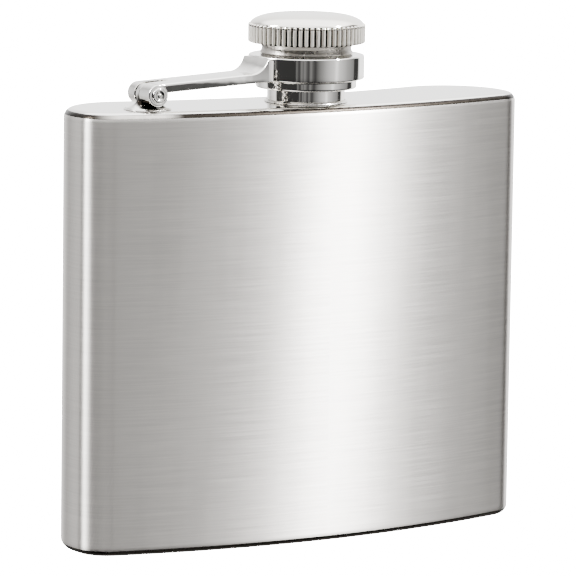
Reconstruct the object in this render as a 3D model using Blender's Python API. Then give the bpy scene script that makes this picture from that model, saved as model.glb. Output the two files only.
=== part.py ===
"""Hip flask with a captive screw cap, for Blender 4.5.

A wrapped steel body of kidney plan stands on its base, with +X along its width and -Y towards its
convex front. The cap turns in a ring on a hinged arm. Units in the file are millimetres, and every
mesh is scaled to metres as it is made. The origin is under the middle of the flask's bounding box.
"""

import math

import bmesh
import bpy
from mathutils import Matrix, Vector

MM = 0.001

# Body plan: two long arcs, two end arcs, and tangent arcs at the four corners.
BODY_WIDTH = 96.1
BODY_HEIGHT = 82.6
FRONT_Y = -13.14  # crown of the convex front
FRONT_RADIUS = 167.6
BACK_Y = 8.64  # middle of the hollow back
BACK_RADIUS = 128.7
END_RADIUS = 58.8
FRONT_CORNER_RADIUS = 6.65
BACK_CORNER_RADIUS = 12.4
LEAST_CORNER_RADIUS = 0.3
FRONT_STEPS, CORNER_STEPS, END_STEPS, BACK_CORNER_STEPS, BACK_STEPS = 10, 6, 4, 6, 8

# Body sheet and end plates
SHEET = 0.7
GAP = 0.3  # between pieces that meet
FINE_GAP = 0.06  # between a weld bead and what it joins
RIM_RADIUS = 1.8
RIM_STEPS = 5
WALL_EDGE_DEPTH = 0.96  # the wall is turned in over the lower half of the rim's rounding
WALL_EDGE_STEPS = 2
SEAM_HEIGHT = 0.4
FLANGE_DEPTH = 3.0
SEAM_WIDTH = 0.9  # upright seam at the +X end
SEAM_DEPTH = 0.4

# Neck, on its own upright axis
NECK_Y = -3.37
NECK_RADIUS = 7.32
NECK_PLAIN_TOP = 2.9  # heights from here on are above the top plate
NECK_RIM = 9.8
NECK_BORE = 5.2
SPIGOT_RADIUS = 6.2
SPIGOT_DEPTH = 2.2
THREAD_ROOT = 6.1
THREAD_CREST = 6.6
THREAD_PITCH = 1.8
THREAD_TURNS = 2.5

# Cap
CAP_RADIUS = 11.03
KNURL_DEPTH = 0.45
KNURL_RIDGES = 62
KNURL_BOTTOM = 11.28
KNURL_TOP = 14.76
DOME_RISE = 2.1
DOME_POWER = 2.8  # flatter in the middle than a sphere
SLEEVE_RADIUS = 8.35
SLEEVE_FLARE_RADIUS = 8.85
SLEEVE_TOP = 12.9
SLEEVE_NECKED_RADIUS = 8.05
FEMALE_ROOT = 7.68
FEMALE_CREST = 7.3  # leaves the sleeve room to swing over the neck with the arm
GASKET_RADIUS = 7.0
GASKET_THICKNESS = 1.3
RETAINER_RADIUS = 9.5
RETAINER_BOTTOM = 2.66

# Arm and its hinge, whose axis runs along Y
RING_BOTTOM = 4.48
RING_TOP = 8.95
RING_RADIUS = 10.91
RING_BORE = SLEEVE_RADIUS + GAP
HINGE_X = -34.2
HINGE_HEIGHT = 2.9
KNUCKLE_RADIUS = 2.05
ARM_HALF_WIDTH = 4.1
ARM_HALF_WIDTH_AT_RING = 4.6
ARM_SHEET = 0.7
ARM_TOP_AT_HINGE = 5.0
ARM_BOTTOM_AT_HINGE = 3.2
ARM_SLOPE = 0.052
ARM_EDGE_RADIUS = 0.45
FILLET_RADIUS = 3.4
SLOT_WIDTH = 1.9
SLOT_LENGTH = 4.4
SLOT_OFFSET = 0.55  # the near knuckle is the longer one
LUG_THICKNESS = SLOT_WIDTH - 2 * GAP
PIN_RADIUS = 1.0
PIN_HOLE = 1.15
RIVET_RADIUS = 1.45
RIVET_RISE = 0.35
FOOT_HALF_LENGTH = 4.1
FOOT_HALF_WIDTH = 3.6

CIRCLE_STEPS = 40

POLISHED = ((0.86, 0.85, 0.83, 1.0), 0.08, 1.0)
BRUSHED = ((0.74, 0.73, 0.71, 1.0), 0.32, 1.0)
WELDED = ((0.7, 0.69, 0.67, 1.0), 0.28, 1.0)
SILICONE = ((0.82, 0.82, 0.8, 1.0), 0.55, 0.0)


def clear_scene():
    """Remove whatever the scene holds."""
    for obj in list(bpy.data.objects):
        bpy.data.objects.remove(obj, do_unlink=True)


def material(name, look):
    """A Principled material of one colour, roughness and metallic value."""
    color, roughness, metallic = look
    made = bpy.data.materials.new(name)
    made.use_nodes = True
    shader = made.node_tree.nodes["Principled BSDF"]
    shader.inputs["Base Color"].default_value = color
    shader.inputs["Roughness"].default_value = roughness
    shader.inputs["Metallic"].default_value = metallic
    return made


def add_object(name, mesh, look, parent=None):
    """Link a mesh as an object, with its own material unless it is a helper."""
    obj = bpy.data.objects.new(name, mesh)
    bpy.context.collection.objects.link(obj)
    if parent:
        obj.parent = parent
    if look:
        mesh.materials.append(material(name + "_finish", look))
        mesh.shade_smooth()
        mesh.set_sharp_from_angle(angle=math.radians(32))
    return obj


def mesh_of(name, work):
    """Scale a bmesh to metres, face it outwards and turn it into a mesh."""
    bmesh.ops.recalc_face_normals(work, faces=work.faces)
    bmesh.ops.scale(work, vec=(MM, MM, MM), verts=work.verts)
    mesh = bpy.data.meshes.new(name)
    work.to_mesh(mesh)
    work.free()
    return mesh


def lofted(name, loops, ring=False):
    """A closed mesh through loops of equally many points; a ring joins its last loop to its first."""
    work = bmesh.new()
    rows = [[work.verts.new(point) for point in loop] for loop in loops]
    pairs = list(zip(rows, rows[1:]))
    if ring:
        pairs.append((rows[-1], rows[0]))
    for lower, upper in pairs:
        for i in range(len(lower)):
            j = (i + 1) % len(lower)
            work.faces.new((lower[i], lower[j], upper[j], upper[i]))
    if not ring:
        work.faces.new(rows[0][::-1])
        work.faces.new(rows[-1])
    return mesh_of(name, work)


def circle(radius, z, steps=CIRCLE_STEPS, center=(0.0, 0.0)):
    """Points of a level circle."""
    turns = [2 * math.pi * i / steps for i in range(steps)]
    return [(center[0] + radius * math.cos(t), center[1] + radius * math.sin(t), z) for t in turns]


def turned(name, profile, ring=True, steps=CIRCLE_STEPS):
    """A turned piece from (radius, height) pairs on the Z axis."""
    return lofted(name, [circle(radius, z, steps) for radius, z in profile], ring)


def cylinder_along_y(name, radius, start, end, x, z, steps=28):
    """A solid cylinder whose axis runs along Y."""
    turns = [2 * math.pi * i / steps for i in range(steps)]
    loops = [[(x + radius * math.cos(t), y, z + radius * math.sin(t)) for t in turns] for y in (start, end)]
    return lofted(name, loops)


def block(name, low, high):
    """A box between two corners."""
    corners = [(low[0], low[1]), (high[0], low[1]), (high[0], high[1]), (low[0], high[1])]
    return lofted(name, [[(x, y, z) for x, y in corners] for z in (low[2], high[2])])


def boolean(target, operation, mesh, parent=None):
    """Cut a mesh from an object, or join it to the object, with a hidden helper object."""
    helper = add_object(mesh.name, mesh, None, parent=parent)
    helper.hide_render = True
    helper.display_type = "WIRE"
    step = target.modifiers.new(mesh.name, "BOOLEAN")
    step.operation = operation
    step.object = helper


# Body plan ------------------------------------------------------------------------------------


def meeting_point(center_a, radius_a, center_b, radius_b, prefer):
    """The crossing of two circles that prefer scores highest."""
    a, b = Vector(center_a), Vector(center_b)
    span = (b - a).length
    along = (radius_a**2 - radius_b**2 + span**2) / (2 * span)
    across = math.sqrt(max(radius_a**2 - along**2, 0.0))
    direction = (b - a) / span
    middle = a + direction * along
    side = Vector((-direction.y, direction.x)) * across
    return max((middle + side, middle - side), key=prefer)


def arc_points(center, radius, start, end, steps):
    """Points from one angle to another, without the last."""
    angles = [start + (end - start) * i / steps for i in range(steps)]
    return [(center[0] + radius * math.cos(t), center[1] + radius * math.sin(t)) for t in angles]


def angle_of(vector):
    """Direction of a plan vector, in radians."""
    return math.atan2(vector.y, vector.x)


def kidney_half(inset):
    """Plan points from the middle of the front round the +X end to the middle of the back."""
    front = Vector((0.0, FRONT_Y + FRONT_RADIUS))
    back = Vector((0.0, BACK_Y + BACK_RADIUS))
    reach = BODY_WIDTH / 2 - 2.0
    front_end = front.y - math.sqrt(FRONT_RADIUS**2 - reach**2)
    back_end = back.y - math.sqrt(BACK_RADIUS**2 - reach**2)
    end = Vector((BODY_WIDTH / 2 - END_RADIUS, (front_end + back_end) / 2))
    front_r, back_r, end_r = FRONT_RADIUS - inset, BACK_RADIUS + inset, END_RADIUS - inset
    tight = max(FRONT_CORNER_RADIUS - inset, LEAST_CORNER_RADIUS)
    wide = max(BACK_CORNER_RADIUS - inset, LEAST_CORNER_RADIUS)
    p = meeting_point(front, front_r - tight, end, end_r - tight, lambda v: v.x - v.y / 10)
    q = meeting_point(back, back_r + wide, end, end_r - wide, lambda v: v.x + v.y / 10)
    leaves_front, meets_end = angle_of(p - front), angle_of(p - end)
    leaves_end, meets_back = angle_of(q - end), angle_of(back - q)
    if meets_back < leaves_end:
        meets_back += 2 * math.pi
    points = arc_points(front, front_r, -math.pi / 2, leaves_front, FRONT_STEPS)
    points += arc_points(p, tight, leaves_front, meets_end, CORNER_STEPS)
    points += arc_points(end, end_r, meets_end, leaves_end, END_STEPS)
    points += arc_points(q, wide, leaves_end, meets_back, BACK_CORNER_STEPS)
    points += arc_points(back, back_r, angle_of(q - back), -math.pi / 2, BACK_STEPS)
    return points + [(0.0, back.y - back_r)]


def kidney(inset, z):
    """One level loop of the body's plan, inset from its outer face."""
    right = kidney_half(inset)
    left = [(-x, y) for x, y in reversed(right[1:-1])]
    return [(x, y, z) for x, y in right + left]


# Body -----------------------------------------------------------------------------------------


def rim_inset(depth):
    """How far the rim's rounding has turned in at a depth below an end's face."""
    rise = max(RIM_RADIUS - depth, 0.0)
    return RIM_RADIUS - math.sqrt(RIM_RADIUS**2 - rise**2)


def flange_inset():
    """Inset of an end plate's locating flange, clear of the wall's turned edge."""
    return rim_inset(WALL_EDGE_DEPTH) + SHEET + GAP


def seam_band(name, height_of):
    """The weld bead between the wall's edge and an end plate's rim."""
    low, high = WALL_EDGE_DEPTH - FINE_GAP, WALL_EDGE_DEPTH - SEAM_HEIGHT + FINE_GAP
    inner = flange_inset() - FINE_GAP
    loops = [
        kidney(rim_inset(low) + FINE_GAP, height_of(low)),
        kidney(rim_inset(high) + FINE_GAP, height_of(high)),
        kidney(inner, height_of(high)),
        kidney(inner, height_of(low)),
    ]
    return add_object(name, lofted(name, loops, ring=True), WELDED)


def body_shell():
    """The wrapped wall, turned in at both edges, with a groove for its upright seam."""
    low, high = WALL_EDGE_DEPTH, BODY_HEIGHT - WALL_EDGE_DEPTH
    depths = [low + (RIM_RADIUS - low) * i / WALL_EDGE_STEPS for i in range(WALL_EDGE_STEPS + 1)]
    profile = [(rim_inset(depth), depth) for depth in depths]
    profile += [(inset, BODY_HEIGHT - depth) for inset, depth in reversed(profile)]
    loops = [kidney(inset, z) for inset, z in profile]
    loops += [kidney(inset + SHEET, z) for inset, z in reversed(profile)]
    obj = add_object("body_shell", lofted("body_shell", loops, ring=True), BRUSHED)
    half = SEAM_WIDTH / 2
    groove = [(-SEAM_DEPTH, -half), (2.0, -half), (2.0, half), (-SEAM_DEPTH, half)]
    span = (RIM_RADIUS, BODY_HEIGHT - RIM_RADIUS)
    boolean(obj, "DIFFERENCE", lofted("seam_groove", [seam_loop(groove, z) for z in span]))


def seam_loop(section, z):
    """A level loop from (outward, sideways) pairs at the middle of the +X end's face."""
    points = [Vector(point) for point in kidney_half(0.0)]
    middle = FRONT_STEPS + CORNER_STEPS + END_STEPS // 2
    along = (points[middle + 1] - points[middle - 1]).normalized()
    outward = Vector((along.y, -along.x))
    plan = [points[middle] + outward * out + along * side for out, side in section]
    return [(point.x, point.y, z) for point in plan]


def side_seam_weld():
    """The upright bead in the wall's groove, over the upright part of the wall."""
    half = SEAM_WIDTH / 2 - 2 * FINE_GAP
    inner = FINE_GAP - SEAM_DEPTH
    section = [(inner, -half), (-0.06, -half), (0.0, -half / 2), (0.0, half / 2), (-0.06, half), (inner, half)]
    low = RIM_RADIUS + FINE_GAP
    loops = [seam_loop(section, z) for z in (low, BODY_HEIGHT - low)]
    add_object("side_seam_weld", lofted("side_seam_weld", loops), WELDED)


def end_plate_loops(height_of):
    """Loops of an end plate from its inner face, over its locating flange, to its outer face."""
    step = flange_inset()
    edge = WALL_EDGE_DEPTH - SEAM_HEIGHT
    loops = [
        kidney(step + SHEET, height_of(SHEET)),
        kidney(step + SHEET, height_of(RIM_RADIUS + FLANGE_DEPTH)),
        kidney(step, height_of(RIM_RADIUS + FLANGE_DEPTH)),
        kidney(step, height_of(edge)),
    ]
    start = math.asin((RIM_RADIUS - edge) / RIM_RADIUS)
    for i in range(RIM_STEPS + 1):
        t = start + (math.pi / 2 - start) * i / RIM_STEPS
        loops.append(kidney(RIM_RADIUS * (1 - math.cos(t)), height_of(RIM_RADIUS * (1 - math.sin(t)))))
    return loops


def top_plate():
    """The polished top, with the neck's hole."""
    loops = end_plate_loops(lambda depth: BODY_HEIGHT - depth)
    obj = add_object("top_plate", lofted("top_plate", loops), POLISHED)
    hole_radius = SPIGOT_RADIUS + GAP
    hole = [circle(hole_radius, z, center=(0.0, NECK_Y)) for z in (BODY_HEIGHT - 4, BODY_HEIGHT + 1)]
    boolean(obj, "DIFFERENCE", lofted("neck_hole", hole))


def bottom_plate():
    """The plate that closes the body below."""
    loops = end_plate_loops(lambda depth: depth)
    add_object("bottom_plate", lofted("bottom_plate", loops), POLISHED)


# Neck -----------------------------------------------------------------------------------------


def helix_ridge(name, base, crest, low, turns):
    """A thread's ridge from base radius to crest radius, fading in and out at its ends."""
    steps = 32
    count = int(turns * steps)
    half_base, half_crest = THREAD_PITCH * 0.4, THREAD_PITCH * 0.12
    loops = []
    for i in range(count + 1):
        angle = 2 * math.pi * i / steps
        z = low + THREAD_PITCH * i / steps
        fade = min(1.0, 6 * min(i, count - i) / count + 0.35)
        reach = base + (crest - base) * fade
        section = [(base, -half_base), (reach, -half_crest), (reach, half_crest), (base, half_base)]
        loops.append([(r * math.cos(angle), r * math.sin(angle), z + dz) for r, dz in section])
    return lofted(name, loops)


def neck_tube(neck):
    """The turned neck: a spigot through the plate, a plain foot and a threaded mouth."""
    profile = [
        (NECK_BORE, -SPIGOT_DEPTH),
        (SPIGOT_RADIUS, -SPIGOT_DEPTH),
        (SPIGOT_RADIUS, FINE_GAP * 2),
        (NECK_RADIUS, FINE_GAP * 2),
        (NECK_RADIUS, NECK_PLAIN_TOP - 0.3),
        (NECK_RADIUS - 0.3, NECK_PLAIN_TOP),
        (THREAD_ROOT, NECK_PLAIN_TOP),
        (THREAD_ROOT, NECK_RIM - 0.3),
        (THREAD_ROOT - 0.3, NECK_RIM),
        (NECK_BORE + 0.2, NECK_RIM),
        (NECK_BORE, NECK_RIM - 0.2),
    ]
    obj = add_object("neck_tube", turned("neck_tube", profile), POLISHED, parent=neck)
    ridge = helix_ridge("neck_thread", THREAD_ROOT - 0.4, THREAD_CREST, 4.1, THREAD_TURNS)
    boolean(obj, "UNION", ridge, parent=neck)


def neck_weld(neck):
    """The bead round the neck's foot."""
    inner = NECK_RADIUS + FINE_GAP
    profile = [(inner, FINE_GAP), (inner + 0.5, FINE_GAP), (inner + 0.3, 0.3), (inner, 0.5)]
    add_object("neck_weld", turned("neck_weld", profile), WELDED, parent=neck)


# Cap ------------------------------------------------------------------------------------------


def knurl(depth, z):
    """A level loop that alternates between ridge tops and valleys."""
    points = []
    for i in range(2 * KNURL_RIDGES):
        angle = math.pi * i / KNURL_RIDGES
        radius = CAP_RADIUS - (depth if i % 2 else 0.0)
        points.append((radius * math.cos(angle), radius * math.sin(angle), z))
    return points


def dome_height(radius, rim_radius):
    """Rise of the cap's dome at a radius."""
    return DOME_RISE * (1 - (radius / rim_radius) ** DOME_POWER)


def cap_shell(cap):
    """The ridged outer cap, open below over the sleeve."""
    steps = 2 * KNURL_RIDGES
    rim = CAP_RADIUS - 0.7
    recess = SLEEVE_FLARE_RADIUS + GAP
    ceiling = KNURL_TOP - 0.9
    loops = [circle(radius, ceiling + dome_height(radius, recess), steps) for radius in (1.5, 5.5)]
    loops += [
        circle(recess, ceiling, steps),
        circle(recess, KNURL_BOTTOM, steps),
        circle(CAP_RADIUS - 0.75, KNURL_BOTTOM, steps),
        knurl(KNURL_DEPTH, KNURL_BOTTOM + 0.4),
        knurl(KNURL_DEPTH, KNURL_TOP - 0.35),
        circle(rim, KNURL_TOP, steps),
    ]
    loops += [circle(radius, KNURL_TOP + dome_height(radius, rim), steps) for radius in (7.2, 3.6, 0.9)]
    add_object("cap_shell", lofted("cap_shell", loops), POLISHED, parent=cap)


def cap_sleeve(cap):
    """The threaded cup inside the cap, which turns in the arm's ring."""
    profile = [
        (2.0, SLEEVE_TOP - 1.2),
        (FEMALE_CREST, SLEEVE_TOP - 1.2),
        (FEMALE_CREST, 9.6),
        (FEMALE_ROOT, 9.3),
        (FEMALE_ROOT, RETAINER_BOTTOM + 0.15),
        (SLEEVE_NECKED_RADIUS, RETAINER_BOTTOM + 0.15),
        (SLEEVE_NECKED_RADIUS, RING_BOTTOM),
        (SLEEVE_RADIUS, RING_BOTTOM + 0.2),
        (SLEEVE_RADIUS, RING_TOP + 0.3),
        (SLEEVE_RADIUS + 0.15, KNURL_BOTTOM - 0.9),
        (SLEEVE_FLARE_RADIUS, KNURL_BOTTOM),
        (SLEEVE_FLARE_RADIUS, SLEEVE_TOP),
        (2.0, SLEEVE_TOP),
    ]
    obj = add_object("cap_sleeve", turned("cap_sleeve", profile, ring=False), POLISHED, parent=cap)
    ridge = helix_ridge("cap_thread", FEMALE_ROOT + 0.3, FEMALE_CREST, 5.0, 2.0)
    boolean(obj, "UNION", ridge, parent=cap)


def cap_gasket(cap):
    """The sealing disc over the neck's rim."""
    low = NECK_RIM + GAP
    high = low + GASKET_THICKNESS
    profile = [(1.0, low), (GASKET_RADIUS, low), (GASKET_RADIUS, high), (1.0, high)]
    add_object("cap_gasket", turned("cap_gasket", profile, ring=False), SILICONE, parent=cap)


def cap_retaining_ring(cap):
    """The crimped ring under the arm's ring, which keeps the cap in it."""
    inner = SLEEVE_NECKED_RADIUS + 0.2
    top = RING_BOTTOM - 0.12
    profile = [
        (inner, RETAINER_BOTTOM),
        (RETAINER_RADIUS - 0.35, RETAINER_BOTTOM),
        (RETAINER_RADIUS, RETAINER_BOTTOM + 0.35),
        (RETAINER_RADIUS, top - 0.25),
        (RETAINER_RADIUS - 0.25, top),
        (inner, top),
    ]
    add_object("cap_retaining_ring", turned("cap_retaining_ring", profile), POLISHED, parent=cap)


# Arm ------------------------------------------------------------------------------------------


def arm_section(x):
    """The arm's channel section at one place along X, which is measured from the neck's axis."""
    along = x - HINGE_X
    top = ARM_TOP_AT_HINGE + ARM_SLOPE * along
    bottom = ARM_BOTTOM_AT_HINGE + ARM_SLOPE * along
    under = top - ARM_SHEET
    start = -RING_RADIUS - FILLET_RADIUS
    into = min(max((x - start) / FILLET_RADIUS, 0.0), 1.0)
    top = min(top + FILLET_RADIUS * (1 - math.sqrt(1 - into**2)), RING_TOP - 0.25)
    half = ARM_HALF_WIDTH + (ARM_HALF_WIDTH_AT_RING - ARM_HALF_WIDTH) * into
    edge = ARM_EDGE_RADIUS
    side = [(half, bottom), (half, top - edge), (half - 0.3 * edge, top - 0.3 * edge), (half - edge, top)]
    inside = [(-half + ARM_SHEET, bottom), (-half + ARM_SHEET, under)]
    inside += [(half - ARM_SHEET, under), (half - ARM_SHEET, bottom)]
    section = side + [(-y, z) for y, z in reversed(side)] + inside
    return [(x, y, z) for y, z in section]


def cap_arm(arm):
    """The pressed channel with two knuckles at one end and a saddle against the ring at the other."""
    fillet_start = -RING_RADIUS - FILLET_RADIUS
    stations = [HINGE_X, HINGE_X + 6.0, -20.0, fillet_start]
    stations += [fillet_start + FILLET_RADIUS * math.sin(math.radians(a)) for a in (20, 40, 55, 70, 85)]
    stations += [-9.2]
    mesh = lofted("cap_arm", [arm_section(x) for x in stations])
    offset = Matrix.Translation(Vector((-HINGE_X, 0.0, -HINGE_HEIGHT)) * MM)
    mesh.transform(offset)
    obj = add_object("cap_arm", mesh, POLISHED, parent=arm)
    knuckles = cylinder_along_y("knuckles", KNUCKLE_RADIUS, -ARM_HALF_WIDTH, ARM_HALF_WIDTH, 0.0, 0.0)
    boolean(obj, "UNION", knuckles, parent=arm)
    slot_low, slot_high = SLOT_OFFSET - SLOT_WIDTH / 2, SLOT_OFFSET + SLOT_WIDTH / 2
    slot = block("lug_slot", (-4.0, slot_low, -4.0), (SLOT_LENGTH, slot_high, 4.0))
    boolean(obj, "DIFFERENCE", slot, parent=arm)
    hole = cylinder_along_y("pin_hole", PIN_HOLE, -6.0, 6.0, 0.0, 0.0, steps=20)
    boolean(obj, "DIFFERENCE", hole, parent=arm)
    low, high = -4.0, 8.0
    seat = [circle(RING_RADIUS + 0.1, z, steps=72, center=(-HINGE_X, 0.0)) for z in (low, high)]
    boolean(obj, "DIFFERENCE", lofted("ring_seat", seat), parent=arm)


def arm_ring(cap_axis):
    """The ring in which the cap turns."""
    edge = 0.3
    profile = [
        (RING_BORE, RING_BOTTOM + 0.1),
        (RING_RADIUS - edge, RING_BOTTOM),
        (RING_RADIUS, RING_BOTTOM + edge),
        (RING_RADIUS, RING_TOP - edge),
        (RING_RADIUS - edge, RING_TOP),
        (RING_BORE + 0.3, RING_TOP),
        (RING_BORE, RING_TOP - 0.3),
    ]
    add_object("arm_ring", turned("arm_ring", profile, steps=72), POLISHED, parent=cap_axis)


# Hinge bracket --------------------------------------------------------------------------------


def oval(half_length, half_width, z, steps=28):
    """A level loop with full ends, wider than an ellipse."""
    points = []
    for i in range(steps):
        c, s = math.cos(2 * math.pi * i / steps), math.sin(2 * math.pi * i / steps)
        power = 0.75
        x = half_length * math.copysign(abs(c) ** power, c)
        y = half_width * math.copysign(abs(s) ** power, s)
        points.append((x, y, z))
    return points


def hinge_bracket(hinge):
    """The flared foot with its upright lug, bored for the pin. Heights are from the pin's axis."""
    floor = -HINGE_HEIGHT
    foot = [
        oval(FOOT_HALF_LENGTH - 0.1, FOOT_HALF_WIDTH - 0.1, floor + 0.1),
        oval(FOOT_HALF_LENGTH, FOOT_HALF_WIDTH, floor + 0.22),
        oval(FOOT_HALF_LENGTH * 0.86, FOOT_HALF_WIDTH * 0.74, floor + 0.34),
        oval(FOOT_HALF_LENGTH * 0.72, FOOT_HALF_WIDTH * 0.45, floor + 0.5),
    ]
    obj = add_object("hinge_bracket", lofted("hinge_bracket", foot), POLISHED, parent=hinge)
    half = LUG_THICKNESS / 2
    flare = [(2.75, 0.4), (2.2, 0.75), (1.85, 1.2), (1.75, 1.8)]
    outline = [(x, floor + z) for x, z in flare]
    radius = KNUCKLE_RADIUS - 0.15
    start = math.asin((outline[-1][1] + 0.25) / radius)
    arc = [start + (math.pi - 2 * start) * i / 14 for i in range(15)]
    outline += [(radius * math.cos(t), radius * math.sin(t)) for t in arc]
    outline += [(-x, floor + z) for x, z in reversed(flare)]
    sides = (SLOT_OFFSET + half, SLOT_OFFSET - half)
    lug = lofted("lug", [[(x, y, z) for x, z in outline] for y in sides])
    boolean(obj, "UNION", lug, parent=hinge)
    hole = cylinder_along_y("lug_hole", PIN_HOLE, -6.0, 6.0, 0.0, 0.0, steps=20)
    boolean(obj, "DIFFERENCE", hole, parent=hinge)


def bracket_weld(hinge):
    """The bead round the bracket's foot."""
    floor = -HINGE_HEIGHT
    inner, outer = 0.12, 0.5
    loops = [
        oval(FOOT_HALF_LENGTH + inner, FOOT_HALF_WIDTH + inner, floor + FINE_GAP),
        oval(FOOT_HALF_LENGTH + outer, FOOT_HALF_WIDTH + outer, floor + FINE_GAP),
        oval(FOOT_HALF_LENGTH + inner, FOOT_HALF_WIDTH + inner, floor + 0.24),
    ]
    add_object("bracket_weld", lofted("bracket_weld", loops, ring=True), WELDED, parent=hinge)


def hinge_pin(hinge):
    """The rivet through both knuckles and the lug, with a headed end on each side."""
    shoulder = ARM_HALF_WIDTH + FINE_GAP * 2
    tip = shoulder + RIVET_RISE
    half = [(PIN_RADIUS, shoulder), (RIVET_RADIUS, shoulder), (RIVET_RADIUS, shoulder + 0.12)]
    half += [(RIVET_RADIUS - 0.35, tip), (0.4, tip)]
    profile = [(radius, -y) for radius, y in reversed(half)] + half
    steps = 20
    loops = []
    for radius, y in profile:
        turns = [2 * math.pi * i / steps for i in range(steps)]
        loops.append([(radius * math.cos(t), y, radius * math.sin(t)) for t in turns])
    add_object("hinge_pin", lofted("hinge_pin", loops), POLISHED, parent=hinge)


def axis_empty(name, x, y, z):
    """An empty on a joint's axis, for the pieces that turn about it."""
    empty = bpy.data.objects.new(name, None)
    bpy.context.collection.objects.link(empty)
    empty.location = Vector((x, y, z)) * MM
    return empty


def main():
    """Build every piece."""
    clear_scene()
    body_shell()
    side_seam_weld()
    top_plate()
    bottom_plate()
    seam_band("bottom_seam_weld", lambda depth: depth)
    seam_band("top_seam_weld", lambda depth: BODY_HEIGHT - depth)
    cap_axis = axis_empty("cap_axis", 0.0, NECK_Y, BODY_HEIGHT)
    hinge_axis = axis_empty("hinge_axis", HINGE_X, NECK_Y, BODY_HEIGHT + HINGE_HEIGHT)
    neck_tube(cap_axis)
    neck_weld(cap_axis)
    cap_shell(cap_axis)
    cap_sleeve(cap_axis)
    cap_gasket(cap_axis)
    cap_retaining_ring(cap_axis)
    arm_ring(cap_axis)
    cap_arm(hinge_axis)
    hinge_bracket(hinge_axis)
    bracket_weld(hinge_axis)
    hinge_pin(hinge_axis)


main()
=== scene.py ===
"""The looks of a hip flask with a captive screw cap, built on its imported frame.

The flask stands on its base with +X along its width and -Y towards its convex front. Sizes are in
millimetres and every mesh is scaled to metres as it is made. Heights of the neck, the cap and the
arm are counted from the top plate, as the frame gives it.
"""

import logging
import math
from dataclasses import dataclass, field
from enum import Enum
from typing import Callable, Sequence

import bmesh
import bpy
from mathutils import Matrix, Vector


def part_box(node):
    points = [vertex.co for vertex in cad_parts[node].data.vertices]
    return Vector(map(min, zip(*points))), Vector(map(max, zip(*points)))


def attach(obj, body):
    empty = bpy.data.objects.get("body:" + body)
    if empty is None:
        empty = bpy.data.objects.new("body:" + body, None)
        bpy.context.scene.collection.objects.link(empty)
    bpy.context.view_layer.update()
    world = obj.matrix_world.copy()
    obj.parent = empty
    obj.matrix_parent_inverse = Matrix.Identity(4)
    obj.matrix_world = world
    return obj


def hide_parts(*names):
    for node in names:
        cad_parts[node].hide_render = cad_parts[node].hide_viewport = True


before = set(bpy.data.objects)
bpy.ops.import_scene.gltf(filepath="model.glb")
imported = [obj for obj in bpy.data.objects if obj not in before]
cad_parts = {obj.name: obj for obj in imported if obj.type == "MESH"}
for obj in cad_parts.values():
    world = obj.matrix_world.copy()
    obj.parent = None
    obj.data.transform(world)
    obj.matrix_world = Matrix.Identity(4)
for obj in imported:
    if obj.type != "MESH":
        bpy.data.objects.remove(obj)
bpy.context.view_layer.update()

MM = 0.001
UV_SPAN = 400.0  # millimetres that one unit of a piece's UV map covers
UV_NAME = "layout"
SHARP_ANGLE = math.radians(38)
MEASURES = ("DISTANCE", "LENGTH", "DOT_PRODUCT")  # the vector operations that give a number
LOG = logging.getLogger("hip_flask")

Pair = tuple[float, float]
Point = tuple[float, float, float]
Mesh = bpy.types.Mesh
Node = bpy.types.Node
Object = bpy.types.Object
Socket = bpy.types.NodeSocket
Tree = bpy.types.NodeTree
Value = Socket | float | tuple[float, ...]


class Slot(Enum):
    """The record's material slots."""

    BRUSHED = "brushed_steel"
    POLISHED = "polished_steel"
    WELD = "weld"
    GASKET = "gasket"


class Body(Enum):
    """The frame's moving bodies."""

    FLASK = "flask"
    ARM = "arm"
    CAP = "cap"


# Node and colour helpers ------------------------------------------------------------------------


def linear(hex_colour: str) -> tuple[float, float, float, float]:
    """Turn an sRGB hex colour into Blender's linear colour.

    Args:
        hex_colour: Six hex digits after a hash.

    Returns:
        Linear red, green, blue and an alpha of 1.
    """
    channels = [int(hex_colour[i : i + 2], 16) / 255 for i in (1, 3, 5)]
    values = [c / 12.92 if c <= 0.04045 else ((c + 0.055) / 1.055) ** 2.4 for c in channels]
    return (values[0], values[1], values[2], 1.0)


def plug(tree: Tree, node: Node, links: dict) -> None:
    """Set a node's inputs.

    Args:
        tree: The node's tree.
        node: The node.
        links: Inputs by name or index, each a value or another node's output socket.
    """
    for name, value in links.items():
        if isinstance(value, Socket):
            tree.links.new(value, node.inputs[name])
        else:
            node.inputs[name].default_value = value


def add_node(tree: Tree, kind: str, settings: dict | None = None, links: dict | None = None) -> Node:
    """Add one node with its settings and links.

    Args:
        tree: The node tree that takes it.
        kind: Blender's node type.
        settings: Properties by name, such as a Math node's operation.
        links: Inputs, as plug takes them.

    Returns:
        The new node.
    """
    node = tree.nodes.new(kind)
    for name, value in (settings or {}).items():
        setattr(node, name, value)
    plug(tree, node, links or {})
    return node


def location(tree: Tree) -> Socket:
    """The place on the piece, in metres."""
    return add_node(tree, "ShaderNodeTexCoord").outputs["Object"]


def ranged(
    tree: Tree, value: Socket, source: Pair, target: Pair = (0.0, 1.0), smooth: bool = False
) -> Socket:
    """Map a value from one range to another, clamped.

    Args:
        tree: The node tree.
        value: What is mapped.
        source: The range that it comes in.
        target: The range that it leaves in.
        smooth: Whether it eases at both ends.

    Returns:
        The mapped value.
    """
    names = ("Value", "From Min", "From Max", "To Min", "To Max")
    links = dict(zip(names, (value, *source, *target)))
    kind = {"interpolation_type": "SMOOTHSTEP" if smooth else "LINEAR"}
    return add_node(tree, "ShaderNodeMapRange", kind, links).outputs[0]


def maths(tree: Tree, operation: str, *values: Value) -> Socket:
    """Add a Math node, and give its result."""
    return add_node(tree, "ShaderNodeMath", {"operation": operation}, dict(enumerate(values))).outputs[0]


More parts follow.
